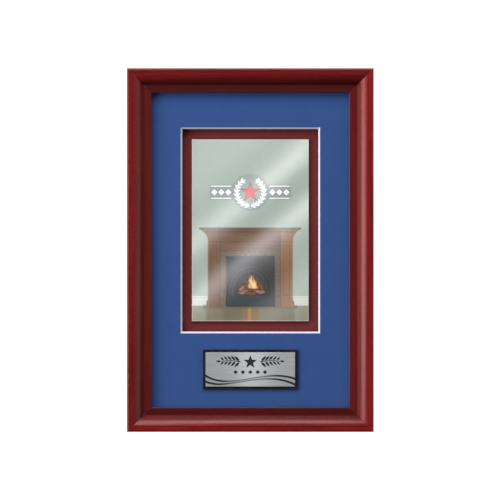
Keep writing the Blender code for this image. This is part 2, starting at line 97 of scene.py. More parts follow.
FACING_THICK = 0.3 * MM  # the mat's coloured paper, over its white core
KNIFE_EASE = ((0, 0.12 * MM), (0.05 * MM, 0.02 * MM))  # the cut's eased edge: how deep, how far out
PLATE_EASE = 0.25 * MM  # the rounding of the print panel's and the backplate's edges
FACE_EASE = 0.12 * MM
ENGRAVING_DEPTH = 0.15 * MM
STAR_NOTCH = 0.42  # how far a star's notches are from its middle, as a part of its radius
WELD = 0.001 * MM
NEAR = 0.2 * MM  # points that are this close to a face belong to it
GENTLE_DEGREES = 35  # faces that meet at less than this are shaded as one round surface

# Colours and lights that were set by eye against test renders. Colours are display values, 0 to 255.
BLUE = (55, 85, 145)
BLUE_FLECK = (70, 100, 160)
MAROON = (124, 54, 56)
MAROON_FLECK = (128, 64, 66)
PRINT_LEVEL = 1.12  # how light the print is as a whole
# For each rail, a quarter turn on from the one before: how light its wood is, how light its glaze is,
# and how much the glaze covers. All three are painted light: each rail is made lighter or darker as
# light falls on its side, and the glaze is partly painted shade in the recess.
RAIL_LIGHT_TONES = {
    "bottom": (1.12, 0.8, 0.68),
    "left": (0.96, 1.3, 0.6),
    "top": (0.84, 0.7, 0.74),
    "right": (1.24, 1.7, 0.58),
}
# How strong the lacquer is on the front, on the outer side and in the cove
FRONT_COAT, OUTSIDE_COAT, COVE_COAT = 0.62, 0.2, 0.15

VIEW_HEIGHT = 0.4888  # how many metres the picture shows
CAMERA_AWAY = 2
FRAMING = Vector((-0.3 * MM, 0, 0.05 * MM))  # from the plaque's middle to the camera's axis
FLOOR_GAP = 0.2 * MM

# Softboxes: degrees from the front towards the right, degrees up, distance, width and height in
# metres, and radiance
SOFTBOXES = {
    "key_light": (-31, 38, 3, 0.9, 0.9, 6.1),
    "top_softbox": (0, 59.5, 2.6, 1.8, 1.1, 5.3),
    "left_softbox": (-62, 0, 2.6, 1.5, 2.1, 4.7),
}
# The world's light, all round and growing towards each side
WORLD_BASE = 0.06
WORLD_LEFT, WORLD_RIGHT, WORLD_TOP, WORLD_BACK = 0.7, 0.95, 0.6, 1.2
BACKDROP = 0.991  # what the camera sees of the world

# Gleams across the print: each band's middle and half width in mm, and its radiance
GLEAM_DEGREES = 40
GLEAMS = ((-25, 9, 7.6), (-36, 14, 2.8), (17.5, 8, 6.9), (24, 14, 2.5), (76, 15, 2.8))
CORNER_GLOW = (-46, -66, 4.0)  # where the upper left glow starts and is full, and its radiance
GLEAM_FADE = (0.68, 1.02)  # how strong all of them are on the left and on the right
GLEAM_CARD_Y = -0.6
GLEAM_CARD_SPREAD = (1.1, 1.06)  # the card's width and height, as parts of the panel's
# The nameplate's gleam: its middle, half width and radiance, over an even radiance
PLATE_GLEAM = (2, 17, 0.36)
PLATE_GLOW = 0.40
PLATE_CARD_AWAY = 45 * MM
PLATE_CARD_LIFT = 12 * MM
PLATE_CARD_SIZE = (130 * MM, 75 * MM)


def rgb(red, green, blue, tone=1.0):
    """A colour from its 0 to 255 display values, made lighter or darker by tone."""
    parts = [part / 255 for part in (red, green, blue)]
    linear = [p / 12.92 if p <= 0.04045 else ((p + 0.055) / 1.055) ** 2.4 for p in parts]
    return tuple(tone * p for p in linear)


# Materials

def arithmetic(operation):
    return lambda first, second: first.nodes.maths(operation, first, second)


class Value:
    """A node's output. Sums with it add maths nodes to its tree."""

    def __init__(self, nodes, socket):
        self.nodes, self.socket = nodes, socket

    __add__ = __radd__ = arithmetic("ADD")
    __sub__ = arithmetic("SUBTRACT")
    __mul__ = arithmetic("MULTIPLY")
    __truediv__ = arithmetic("DIVIDE")
    __pow__ = arithmetic("POWER")

    def __rsub__(self, number):
        return self.nodes.maths("SUBTRACT", number, self)

    def __abs__(self):
        return self.nodes.maths("ABSOLUTE", self)


class Nodes:
    """A node tree, with short calls for the nodes that it is made from."""

    def __init__(self, tree):
        self.tree = tree

    def feed(self, socket, value):
        if isinstance(value, Value):
            self.tree.links.new(value.socket, socket)
        elif socket.type == "RGBA" and len(value) == 3:
            socket.default_value = (*value, 1)
        else:
            socket.default_value = value

    def add(self, kind, output=0, inputs=None, **settings):
        """Adds a shader node, feeds its inputs by name or number, and returns one of its outputs."""
        node = self.tree.nodes.new("ShaderNode" + kind)
        for key, value in settings.items():
            setattr(node, key, value)
        for key, value in (inputs or {}).items():
            self.feed(node.inputs[key], value)
        return Value(self, node.outputs[output])

    def place(self, x=1, y=1, z=1, offset=(0, 0, 0)):
        """Object coordinates in millimetres, moved by offset and then multiplied along each axis."""
        coordinates = self.add("TexCoord", "Object")
        inputs = {0: coordinates, 1: tuple(v * MM for v in offset)}
        moved = self.add("VectorMath", inputs=inputs, operation="ADD")
        scale = tuple(v / MM for v in (x, y, z))
        return self.add("VectorMath", inputs={0: moved, 1: scale}, operation="MULTIPLY")

    def axes(self, vector):
        """A vector's X, Y and Z."""
        split = self.add("SeparateXYZ", 0, {0: vector}).socket.node
        return [Value(self, output) for output in split.outputs]

    def maths(self, operation, *values):
        return self.add("Math", inputs=dict(enumerate(values)), operation=operation)

    def length(self, across, up):
        """How far a place is from where both of its coordinates are 0."""
        return self.maths("SQRT", across * across + up * up)

    def bell(self, value, middle, half, steepness=1.0):
        """A soft peak: 1 at the middle, and nearly gone at twice the half width."""
        off = (value - middle) / half
        return self.maths("EXPONENT", off * off * -steepness)

    def noise(self, size, offset=(0, 0, 0), detail=4, roughness=0.5, distortion=0.0):
        """Noise with features of about this size in millimetres, or of a size for each axis."""
        sizes = size if isinstance(size, tuple) else (size,) * 3
        inputs = {"Vector": self.place(*[1 / each for each in sizes], offset), "Scale": 1.0}
        inputs.update({"Detail": detail, "Roughness": roughness, "Distortion": distortion})
        return self.add("TexNoise", "Fac", inputs)

    def remap(self, value, low, high, to_low=0.0, to_high=1.0, kind="LINEAR"):
        inputs = {"Value": value, "From Min": low, "From Max": high, "To Min": to_low, "To Max": to_high}
        return self.add("MapRange", "Result", inputs, interpolation_type=kind)

    def mix(self, amount, first, second, blend="MIX"):
        inputs = {0: amount, 6: first, 7: second}
        return self.add("Mix", 2, inputs, data_type="RGBA", blend_type=blend)

    def ramp(self, value, *stops):
        """A colour ramp. Each stop is (position, colour)."""
        output = self.add("ValToRGB", "Color", {"Fac": value})
        elements = output.socket.node.color_ramp.elements
        while len(elements) < len(stops):
            elements.new(0.5)
        for element, (position, colour) in zip(elements, stops):
            element.position = position
            element.color = (*colour, 1)
        return output


class Shade(Nodes):
    """One material. The constants go straight on its shader's sockets."""

    def __init__(self, name, **constants):
        self.material = bpy.data.materials.new(name)
        self.material.use_nodes = True
        super().__init__(self.material.node_tree)
        self.surface = self.tree.nodes["Principled BSDF"]
        for socket, value in constants.items():
            self.feed(self.surface.inputs[socket.replace("_", " ").title().replace("Ior", "IOR")], value)

    def finished(self, colour, roughness, height, depth, coat=False):
        """Feeds the shader, with a bump of this depth, and returns the material."""
        normal = self.add("Bump", "Normal", {"Distance": depth, "Height": height})
        feeds = {"Base Color": colour, "Roughness": roughness, "Normal": normal}
        if coat:
            feeds["Coat Normal"] = normal
        for socket, value in feeds.items():
            self.feed(self.surface.inputs[socket], value)
        return self.material


def mahogany(name, offset, coat, rail_light_tone, glaze_light_tone, glaze_and_shade_amount):
    """Red mahogany under a coat of satin lacquer. The grain runs along the rail, which is its X, and its
    Y is the depth, where a darker glaze lies on the slope, in the cove and on the inner band: partly a
    real glaze and partly painted shade in the recess. The light tones are painted light: they make one
    rail lighter or darker than another, as light falls on it."""
    wood = Shade(name, specular_ior_level=0.05, coat_weight=coat, coat_roughness=0.26, coat_ior=1.5)
    figure = wood.noise((90, 5, 5), offset, roughness=0.6, distortion=0.6)
    streaks = wood.noise((45, 0.9, 0.9), offset, detail=3, roughness=0.65)
    pores = wood.noise((7, 0.28, 0.28), offset, detail=2)
    # The rail's light tone lightens or darkens the wood: painted light for how light falls on this rail.
    body = wood.ramp(
        figure,
        (0.30, rgb(107, 18, 20, rail_light_tone)),
        (0.48, rgb(127, 24, 25, rail_light_tone)),
        (0.62, rgb(139, 31, 29, rail_light_tone)),
        (0.78, rgb(117, 22, 22, rail_light_tone)),
    )
    streaked = wood.mix(wood.remap(streaks, 0.35, 0.7, 0.0, 0.45), body, rgb(96, 14, 17, rail_light_tone))
    pore = wood.remap(pores, 0.60, 0.70, 0.0, 0.7)
    grained = wood.mix(pore, streaked, rgb(52, 9, 12))
    depth = wood.axes(wood.place())[1]
    # Darker towards the recess: partly a real glaze, partly painted shade on the slope, cove and inner band.
    glaze = wood.remap(depth, -21.4, -17.2, 0.0, glaze_and_shade_amount)
    tint = wood.mix(glaze, grained, rgb(60, 19, 15, glaze_light_tone))
    rough = wood.remap(streaks, 0.3, 0.7, 0.38, 0.52)
    peel = wood.noise((9, 2.5, 2.5), offset, detail=2)
    return wood.finished(tint, rough, pores * -0.25 + peel, 0.03 * MM, coat=True)


def bare_wood(name, offset):
    """The rail's back and rabbet: pale wood with overspray of the stain."""
    wood = Shade(name, specular_ior_level=0.3)
    figure = wood.noise((80, 4, 4), offset, roughness=0.6, distortion=0.5)
    fibres = wood.noise((14, 0.4, 0.4), offset, detail=3, roughness=0.6)
    overspray = wood.noise((60, 18, 18), offset, detail=2)
    pale, light, dark = rgb(176, 132, 92), rgb(196, 152, 108), rgb(166, 120, 82)
    body = wood.ramp(figure, (0.3, pale), (0.55, light), (0.8, dark))
    fibred = wood.mix(wood.remap(fibres, 0.45, 0.75, 0.0, 0.4), body, rgb(132, 90, 60))
    tint = wood.mix(wood.remap(overspray, 0.5, 0.75, 0.05, 0.45), fibred, rgb(132, 48, 38))
    rough = wood.remap(fibres, 0.3, 0.7, 0.62, 0.82)
    return wood.finished(tint, rough, fibres, 0.05 * MM)


def board_paper(name, colour, fleck, offset=(0, 0, 0)):
    """Uncoated mat board paper: an even colour with soft mottling and a fine felted surface."""
    paper = Shade(name, specular_ior_level=0.15)
    mottle = paper.noise(14, offset, detail=3)
    felt = paper.noise(0.5, offset, detail=3, roughness=0.6)
    mottled = paper.mix(paper.remap(mottle, 0.35, 0.7, 0.0, 0.12), colour, fleck)
    tint = paper.mix(paper.remap(felt, 0.45, 0.75, 0.0, 0.3), mottled, fleck)
    rough = paper.remap(felt, 0.3, 0.7, 0.82, 0.95)
    return paper.finished(tint, rough, felt, 0.03 * MM)


def hardboard():
    """Tempered hardboard, rough side out: brown fibres pressed against a wire screen."""
    board = Shade("hardboard_screened", specular_ior_level=0.2)
    fibres = board.noise(1.1, detail=5, roughness=0.7, distortion=0.8)
    clouds = board.noise(35, detail=3)
    wires = tau / 1.3  # 1.3 mm from wire to wire
    across, _, up = board.axes(board.place(wires, 1, wires))
    screen = board.maths("SINE", across) * board.maths("SINE", up)
    body = board.ramp(fibres, (0.25, rgb(96, 66, 42)), (0.5, rgb(124, 88, 58)), (0.75, rgb(150, 112, 76)))
    tint = board.mix(board.remap(clouds, 0.35, 0.7, 0.0, 0.35), body, rgb(94, 64, 42))
    rough = board.remap(fibres, 0.3, 0.7, 0.7, 0.9)
    return board.finished(tint, rough, screen * 0.35 + fibres, 0.12 * MM)


def plated(name, bright, dull, roughness):
    """Zinc- or brass-plated steel: faint cloudy passivation, fine rolling lines and dull spots."""
    metal = Shade(name, metallic=1.0)
    clouds = metal.noise(4, roughness=0.6)
    lines = metal.noise((5, 0.15, 0.15), detail=2)
    spots = metal.noise(0.8, detail=3)
    tint = metal.mix(metal.remap(clouds, 0.35, 0.75, 0.0, 0.35), bright, dull)
    rough = lines * 0.1 + (spots * 0.16 + (roughness - 0.08))
    return metal.finished(tint, rough, lines, 0.01 * MM)


def plain(name, colour, fleck, size, roughness, depth=0.02):
    """A plain matt substance, such as foam or rubber, with a grain of the given size in millimetres."""
    stuff = Shade(name, specular_ior_level=0.3)
    grain = stuff.noise(size, roughness=0.6)
    tint = stuff.mix(stuff.remap(grain, 0.35, 0.7), colour, fleck)
    rough = stuff.remap(grain, 0.3, 0.7, roughness - 0.08, roughness + 0.08)
    return stuff.finished(tint, rough, grain, depth * MM)


def enamel():
    """The black fill in the nameplate's engraving. It thins to grey in the middle of the wave lines."""
    fill = Shade("engraving_enamel", specular_ior_level=0.3)
    grain = fill.noise(0.6, roughness=0.6)
    speckle = fill.remap(grain, 0.35, 0.7)
    black = fill.mix(speckle, rgb(24, 25, 30), rgb(38, 39, 46))
    grey = fill.mix(speckle, rgb(128, 127, 128), rgb(142, 141, 142))
    across, _, up = fill.axes(fill.place())
    middle = fill.remap(abs(across), 30, 8, kind="SMOOTHSTEP")
    waves = fill.remap(up, -5.2, -5.6)
    tint = fill.mix(middle * waves, black, grey)
    rough = fill.remap(grain, 0.3, 0.7, 0.42, 0.58)
    return fill.finished(tint, rough, grain, 0.01 * MM)


def gloss_black():
    """The backplate: black laminate with fine handling scratches under its gloss."""
    black = Shade("gloss_black_plate", specular_ior_level=0.5)
    haze = black.noise(12)
    scratches = black.noise((18, 0.12, 0.12), detail=2)
    tint = black.mix(black.remap(haze, 0.35, 0.7), rgb(22, 30, 42), rgb(34, 44, 60))
    rough = scratches * 0.14 + black.remap(haze, 0.3, 0.7, 0.1, 0.2)
    return black.finished(tint, rough, scratches, 0.004 * MM)


def brushed_silver():
    """Satin aluminium, brushed from side to side, so that its gleam spreads up and down."""
    metal = Shade("brushed_silver_plate", metallic=1.0, anisotropic=0.75, anisotropic_rotation=0.25)
    hairlines = metal.noise((30, 0.09, 0.09), detail=3, roughness=0.6)
    strokes = metal.noise((60, 0.6, 0.6), detail=2)
    shade = metal.mix(metal.remap(hairlines, 0.35, 0.65), rgb(196, 197, 199), rgb(222, 223, 226))
    tint = metal.mix(metal.remap(strokes, 0.4, 0.7, 0.0, 0.35), shade, rgb(184, 185, 188))
    rough = metal.remap(hairlines, 0.3, 0.7, 0.26, 0.36)
    tangent = metal.add("Tangent", direction_type="RADIAL", axis="Z")
    metal.feed(metal.surface.inputs["Tangent"], tangent)
    return metal.finished(tint, rough, hairlines, 0.006 * MM)


class Picture(Shade):
    """A material painted on a flat face in layers. x runs right and z up, in millimetres from its middle."""

    def __init__(self, name, **constants):
        super().__init__(name, **constants)
        self.x, _, self.z = self.axes(self.place())
        self.aside = abs(self.x)
        self.canvas = None

    def over(self, value, edge, soft=0.3):
        """A mask: 1 where value is over edge and 0 where it is under, blurred by soft."""
        return self.remap(value, edge - soft, edge + soft, kind="SMOOTHSTEP")

    def band(self, value, low, high, soft=0.3):
        return self.over(value, low, soft) - self.over(value, high, soft)

    def block(self, left, right, bottom, top, soft=0.3):
        """A rectangle."""
        return self.band(self.x, left, right, soft) * self.band(self.z, bottom, top, soft)

    def twin(self, near, far, bottom, top, soft=0.3):
        """A rectangle on either side of the middle, or one across it if near is below 0."""
        return self.band(self.aside, near, far, soft) * self.band(self.z, bottom, top, soft)

    def blob(self, x, z, wide, high, soft=0.3, degrees=0):
        """1 inside an ellipse of these half sizes. A softness of 1 blurs it all the way to its middle."""
        aside, above = self.x - x, self.z - z
        cosine, sine = cos(radians(degrees)), sin(radians(degrees))
        across = aside * (cosine / wide) + above * (sine / wide)
        up = above * (cosine / high) - aside * (sine / high)
        return self.remap(self.length(across, up), 1 - soft, 1, 1, 0, kind="SMOOTHSTEP")

    def paint(self, mask, colour, strength=1.0):
        """Lays a colour over the canvas: a node's output, or 0 to 255 display values."""
        if isinstance(colour, tuple):
            colour = rgb(*colour)
        if strength != 1:
            mask = mask * strength
        self.canvas = self.mix(mask, self.canvas, colour)


def paint_room(art):
    """A pale green wall, a white baseboard and a pale floor that mirrors the mantel and the fire."""
    wall = art.mix(art.remap(art.x, -57, 57), rgb(170, 185, 176), rgb(169, 183, 173))
    plaster = art.noise(11, detail=5, roughness=0.6)
    art.canvas = art.mix(art.remap(plaster, 0.4, 0.75, 0.0, 0.3), wall, rgb(158, 173, 164))
    art.paint(art.block(-60, 60, -74, -64.2), (211, 214, 208))
    art.paint(art.block(-60, 60, -66.0, -65.5, 0.2), (190, 196, 188))
    floor = 1 - art.over(art.z, -73.6)
    streaks = art.noise((3.5, 1, 40), (60, 0, 0))
    art.paint(floor, art.mix(streaks, rgb(152, 152, 138), rgb(140, 144, 122)))
    mirrored = floor * art.band(art.aside, -1, 43, 1.5)
    art.paint(mirrored, art.mix(streaks, rgb(104, 94, 74), rgb(140, 128, 100)), 0.7)
    art.paint(floor * art.band(art.x, -7, 9, 4), (140, 106, 66), 0.7)
    art.paint(floor * art.band(art.x, -2.4, 0.6, 1.2), (190, 136, 70), 0.8)
    art.paint(floor * art.band(art.x, -26, -8, 3), (104, 104, 78), 0.5)
    art.paint(art.block(-46, 46, -76.6, -73.0, 1.2), (112, 100, 88), 0.75)


def paint_mantel(art):
    """A wooden mantel: a shelf on a cove that sweeps in to two panelled legs, and a frieze."""
    grain = art.noise((30, 1.8, 1.8), roughness=0.6)
    lengthwise = art.noise((1.8, 1.8, 30), (40, 0, 0), roughness=0.6)
    left_leg = art.mix(lengthwise, rgb(102, 74, 54), rgb(140, 110, 88))
    right_leg = art.mix(lengthwise, rgb(122, 86, 58), rgb(160, 124, 94))
    leg_grain = art.mix(art.over(art.x, 0), left_leg, right_leg)
    left_frieze = art.mix(grain, rgb(104, 76, 58), rgb(136, 108, 88))
    right_frieze = art.mix(grain, rgb(92, 64, 44), rgb(124, 94, 72))
    frieze_grain = art.mix(art.remap(art.x, -6, 24), left_frieze, right_frieze)
    # The cove is 8 mm wider than the legs at the shelf, and curves in to them below it.
    sweep = art.remap(art.z, -11, 1.2, 0.0, 1.0)
    reach = sweep ** 2.4 * 8.0 + 41.5
    cove = art.remap(reach - art.aside, -0.3, 0.3)
    art.paint(cove * art.band(art.z, -11, 1.5), leg_grain)
    for near, far, bottom, top in ((28, 41.5, -75, -1), (28, 43, -75, -69.5), (28, 42.3, -69.5, -68.2)):
        art.paint(art.twin(near, far, bottom, top), leg_grain)
    art.paint(art.twin(-1, 29.5, -19, 1.5), frieze_grain)
    art.paint(art.twin(-1, 44, -2.2, -0.4, 0.9), (84, 60, 46), 0.55)
    art.paint(art.twin(-1, 50, 0.9, 2.8), (104, 82, 68))
    art.paint(art.twin(-1, 49.6, 2.2, 2.8, 0.2), (150, 130, 112), 0.7)
    art.paint(art.twin(-1, 41.5, -11.4, -10.7, 0.3), (84, 62, 48), 0.45)
    art.paint(art.twin(29.2, 30.0, -74, 0.5, 0.3), (70, 52, 42), 0.5)
    art.paint(art.twin(32.2, 38.8, -64, -14.5), (82, 60, 46), 0.35)
    art.paint(art.twin(32.9, 38.1, -63.3, -15.2), leg_grain)
    art.paint(art.twin(40.4, 42.0, -75, -10, 0.6), (160, 132, 104), 0.4)


def paint_hearth(art):
    """A stone surround, and a dark firebox with an arched brick lining."""
    stone = art.noise(3, detail=5, roughness=0.7)
    art.paint(art.twin(-1, 29.2, -75, -19), art.mix(stone, rgb(78, 65, 56), rgb(146, 128, 112)))
    art.paint(art.twin(-1, 29.2, -20.2, -19, 0.5), (96, 80, 70), 0.6)
    for seam in range(-70, -19, 5):
        art.paint(art.twin(24, 29.2, seam - 0.2, seam + 0.2, 0.2), (92, 82, 74), 0.5)
        art.paint(art.block(seam + 45, seam + 45.4, -25, -19.6, 0.2), (92, 82, 74), 0.5)
    light = art.remap(art.x, -24, 24)
    iron = art.mix(light, rgb(34, 36, 43), rgb(66, 69, 70))
    art.paint(art.twin(-1, 24.0, -74.8, -25, 0.6), (58, 62, 64))
    art.paint(art.twin(-1, 22.6, -73.4, -26.6, 1.2), iron)
    rings = ((21.8, 27.5, 92), (20.6, 26.2, 60), (19.0, 24.6, 90), (16.6, 22.0, 66))
    for wide, high, grey in rings:
        arch = art.blob(0, -62, wide, high, 0.06) * art.over(art.z, -65)
        lit, shaded = rgb(grey, grey - 1, grey + 3), rgb(grey - 22, grey - 22, grey - 20)
        art.paint(arch, art.mix(light, lit, shaded), 0.7)
    bricks = {"Vector": art.place(1, 0, 1), "Scale": 0.21, "Mortar Size": 0.025}
    bricks.update({"Row Height": 0.6, "Brick Width": 1.3})
    lining = art.add("TexBrick", "Fac", bricks)
    art.paint(lining * art.twin(-1, 16, -62, -36, 1), (72, 72, 74), 0.15)
    art.paint(art.twin(-1, 22.6, -74, -64, 0.6), (60, 69, 72))
    for bar in range(-73, -65, 2):
        art.paint(art.twin(-1, 20.5, bar, bar + 0.5, 0.25), (76, 85, 89), 0.5)
    calm_x, calm_z = art.x, art.z
    art.x = wavering(art, calm_x, 3)
    art.z = wavering(art, calm_z, 8)
    paint_logs(art)
    art.x, art.z = calm_x, calm_z
    paint_fire(art)


def wavering(art, value, seed):
    """A coordinate that wavers by a few millimetres, so that what is painted with it looks rough."""
    waver = art.noise(6, (seed, seed, 0), detail=3)
    return value + (waver * 5 - 2.5)


def paint_logs(art):
    """A stack of split logs, lit from within by the fire."""
    bark = art.noise((2.2, 2.2, 0.7), (2, 0, 5), roughness=0.7)
    lit = art.mix(bark, rgb(112, 74, 56), rgb(192, 150, 128))
    shaded = art.mix(bark, rgb(68, 44, 34), rgb(148, 110, 88))
    art.paint(art.blob(1.5, -55, 17, 14, 1), (140, 112, 92), 0.6)
    for x, z, length, degrees, colour in (
        (6.5, -53.6, 13, 58, shaded),
        (10.5, -55.6, 13, -52, shaded),
        (-8.0, -56.0, 13, 44, lit),
        (-1.5, -55.8, 14, -30, shaded),
        (-5.5, -60.6, 17, 4, lit),
        (9.0, -60.2, 15, -8, lit),
        (1.0, -61.6, 14, 2, shaded),
    ):
        art.paint(art.blob(x, z, length / 2 + 0.6, 2.9, 0.3, degrees), (52, 36, 30), 0.75)
        art.paint(art.blob(x, z, length / 2, 2.3, 0.5, degrees), colour)


def paint_fire(art):
    """Tongues of flame: a noisy cone, orange outside and nearly white in its heart."""
    tongues = art.noise((3.0, 3.0, 7.0), (1, 0, 0), detail=3, distortion=0.7)
    lean = art.z * 0.24 + 10.4  # the flame's middle leans left as it rises
    sideways = (art.x + lean) / 5.8
    rise = art.remap(art.z, -57, -18, 0, 2)
    heat = 1 - sideways * sideways - rise + (tongues * 1.5 - 0.75)
    heat = heat * art.over(art.z, -57.0, 2.4)
    art.paint(art.remap(heat, 0.18, 0.42), (206, 134, 80), 0.7)
    art.paint(art.remap(heat, 0.34, 0.56), (236, 182, 110))
    art.paint(art.remap(heat, 0.56, 0.95), (248, 224, 178))


def paint_emblem(art):
    """An open laurel wreath round a coral star, with two rules and three diamonds on either side."""
    white, shadow = (246, 248, 247), (142, 156, 156)
    wreath_radius, leaf_reach, leaves = 13.2, 3.3, 11
    up = art.z - 37.2
    radius = art.length(art.x, up)
    turn = art.maths("ARCTAN2", art.aside, up * -1)
    # Leaves lean along the ring, from the bottom round to the opening at the top.
    from_ring = (radius - wreath_radius) / leaf_reach
    run = turn * (leaves / pi) - abs(from_ring) * 0.75
    from_leaf = abs(art.maths("FRACT", run) - 0.5)
    inside = 0.46 - from_ring * from_ring * 0.46 - from_leaf
    stem = art.band(radius, wreath_radius - 0.45, wreath_radius + 0.45, 0.2)
    sides = art.band(turn, 0.05, 2.72, 0.02)
    leaf = sides * art.maths("MAXIMUM", art.remap(inside, -0.03, 0.05), stem)
    # A soft grey shadow lies behind the whole emblem.
    art.paint(1 - art.over(radius, 18.2, 0.8), shadow, 0.75)
    wings = art.band(art.aside, 16, 39.5, 0.8) * art.band(up, -7.4, 7.4, 0.8)
    art.paint(wings, shadow, 0.75)
    art.paint(leaf, white)
    star = star_mask(art, art.x, up - 0.2, 8.8)
    art.paint(art.maths("GREATER_THAN", star, -0.75), (106, 114, 120))
    art.paint(art.remap(star, -0.25, 0.05), (222, 74, 70))
    darker_half = art.remap(star, -0.1, 0.2) * art.over(art.x, 0, 0.2)
    art.paint(darker_half, (196, 52, 54), 0.5)
    for height in (-5.9, 5.9):
        rule = art.band(up, height - 0.6, height + 0.6, 0.15)
        art.paint(art.band(art.aside, 18.6, 38.4, 0.2) * rule, white)
    for place in (21.6, 28.4, 35.2):
        reach = 3.5 - (abs(art.aside - place) + abs(up))
        art.paint(art.remap(reach, -0.9, -0.6), (100, 108, 118), 0.8)
        art.paint(art.remap(reach, -0.1, 0.2), white)


def star_mask(art, across, up, radius):
    """How deep a point is inside a five-pointed star, in millimetres; under 0 is outside."""
    fifth = tau / 5
    notch_radius = radius * STAR_NOTCH
    angle = art.maths("ARCTAN2", across, up)
    folded = abs(art.maths("WRAP", angle, fifth / 2, -fifth / 2))
    distance = art.length(across, up)
    along = distance * art.maths("COSINE", folded)
    aside = distance * art.maths("SINE", folded)
    # The edge runs from the point at (radius, 0) to the notch, half a fifth round.
    notch = (notch_radius * cos(fifth / 2), notch_radius * sin(fifth / 2))
    edge = (notch[0] - radius, notch[1])
    size = hypot(*edge)
    inward = (-edge[1] / size, edge[0] / size)
    return (along - radius) * inward[0] + aside * inward[1]


def printed_panel():
    """A gloss laminated print: a room with a fireplace, under an emblem."""
    art = Picture("printed_panel_face", specular_ior_level=0.5)
    paint_room(art)
    paint_mantel(art)
    paint_hearth(art)
    paint_emblem(art)
    # A pale pinkish band along the panel's edges: a painted highlight on the edge.
    edge_highlight = 1 - art.block(-56.4, 56.4, -88.1, 88.1, 0.5)
    art.paint(edge_highlight, (212, 190, 180), 0.75)
    tint = art.mix(1.0, art.canvas, (PRINT_LEVEL,) * 3, "MULTIPLY")
    handling = art.noise(30, (9, 0, 3))
    rough = art.remap(handling, 0.35, 0.7, 0.045, 0.07)
    return art.finished(tint, rough, art.noise(45, detail=1), 0.02 * MM)


# Meshes

def arc(centre, radius, start, end, steps):
    """Points on an arc, from one angle in degrees to another."""
    angles = [radians(start + (end - start) * i / steps) for i in range(steps + 1)]
    return [(centre[0] + radius * cos(a), centre[1] + radius * sin(a)) for a in angles]


def add_object(name, data, *finishes, location=(0, 0, 0)):
    obj = bpy.data.objects.new(name, data)
    bpy.context.scene.collection.objects.link(obj)
    for finish in finishes:
        data.materials.append(finish)
    obj.location = location
    return obj


def mesh_from(fill):
    """A new mesh, made by fill(bm)."""
    bm = bmesh.new()
    fill(bm)
    mesh = bpy.data.meshes.new("shape")
    bm.to_mesh(mesh)
    bm.free()
    return mesh


def skin(rings, finish, capped=False):
    """A closed mesh through rings of points. Its ends are capped, or its last ring joins its first.
    finish(ring, side) is the material number of the face between a ring and the next."""
    def fill(bm):
        loops = [[bm.verts.new(point) for point in ring] for ring in rings]
        pairs = list(zip(loops, loops[1:] + loops[:1]))
        for ring, (near, far) in enumerate(pairs[:-1] if capped else pairs):
            for side in range(len(near)):
                after = (side + 1) % len(near)
                face = bm.faces.new((near[side], near[after], far[after], far[side]))
                face.material_index = finish(ring, side)
        if capped:
            for loop in (loops[0], loops[-1]):
                bm.faces.new(loop).material_index = BARE
        bmesh.ops.recalc_face_normals(bm, faces=bm.faces)

    return mesh_from(fill)


def outline_mesh(outlines, thickness):
    """Flat outlines in X and Y, extruded evenly along Z, as a welded mesh."""
    curve = bpy.data.curves.new("outline", "CURVE")
    curve.dimensions = "2D"
    curve.fill_mode = "BOTH"
    curve.extrude = thickness / 2
    for points in outlines:
        spline = curve.splines.new("POLY")
        spline.points.add(len(points) - 1)
        for point, (x, y) in zip(spline.points, points):
            point.co = (x, y, 0, 1)
        spline.use_cyclic_u = True
        spline.use_smooth = False
    obj = add_object("outline", curve)
    solid = evaluated(obj)
    bpy.data.objects.remove(obj, do_unlink=True)

    def fill(bm):
        bm.from_mesh(solid)
        bmesh.ops.remove_doubles(bm, verts=bm.verts, dist=WELD)
        bmesh.ops.recalc_face_normals(bm, faces=bm.faces)

    return mesh_from(fill)


def evaluated(obj):
    """The mesh that obj and its modifiers make."""
    bpy.context.view_layer.update()
    graph = bpy.context.evaluated_depsgraph_get()
    return bpy.data.meshes.new_from_object(obj.evaluated_get(graph))


def cut(obj, tools, material_mode="INDEX"):
    """Cuts the tools out of obj for good, and removes them."""
    for tool in tools:
        modifier = obj.modifiers.new(tool.name, "BOOLEAN")
        modifier.operation = "DIFFERENCE"
        modifier.solver = "EXACT"
        modifier.material_mode = material_mode
        modifier.object = tool
    mesh = evaluated(obj)
    obj.modifiers.clear()
    obj.data = mesh
    for tool in tools:
        bpy.data.objects.remove(tool, do_unlink=True)


def soften(obj, width, segments=3, degrees=30):
    """Rounds the sharp edges, with even shading on the flats between them."""
    modifier = obj.modifiers.new("rounded_edges", "BEVEL")
    modifier.width = width
    modifier.segments = segments
    modifier.limit_method = "ANGLE"
    modifier.angle_limit = radians(degrees)
    modifier.harden_normals = True


def place_piece(obj, slot, *nodes, body="plaque"):
    """Hands obj to the frame: it stands for these nodes and moves with their body."""
    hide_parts(*nodes)
    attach(obj, body)


def mesh_copy(node, grow=0.0):
    """A CAD node's solid as a welded mesh, with its flat faces whole, and grown along its normals."""
    def fill(bm):
        bm.from_mesh(NODES[node].data)
        bmesh.ops.remove_doubles(bm, verts=bm.verts, dist=WELD)
        bmesh.ops.dissolve_limit(bm, angle_limit=radians(1), verts=bm.verts, edges=bm.edges)
        bmesh.ops.recalc_face_normals(bm, faces=bm.faces)
        bm.normal_update()
        for vertex, normal in [(v, v.normal.copy()) for v in bm.verts]:
            vertex.co += normal * grow

    return mesh_from(fill)


def finer_copy(node, finish, slot, ease, body="plaque"):
    """A CAD node's shape with smooth round faces and eased edges."""
    mesh = mesh_copy(node)
    mesh.shade_smooth()
    mesh.set_sharp_from_angle(angle=radians(GENTLE_DEGREES))
    obj = add_object(node + "_piece", mesh, finish)
    if ease:
        soften(obj, ease, segments=2, degrees=40)
    place_piece(obj, slot, node, body=body)


# The frame

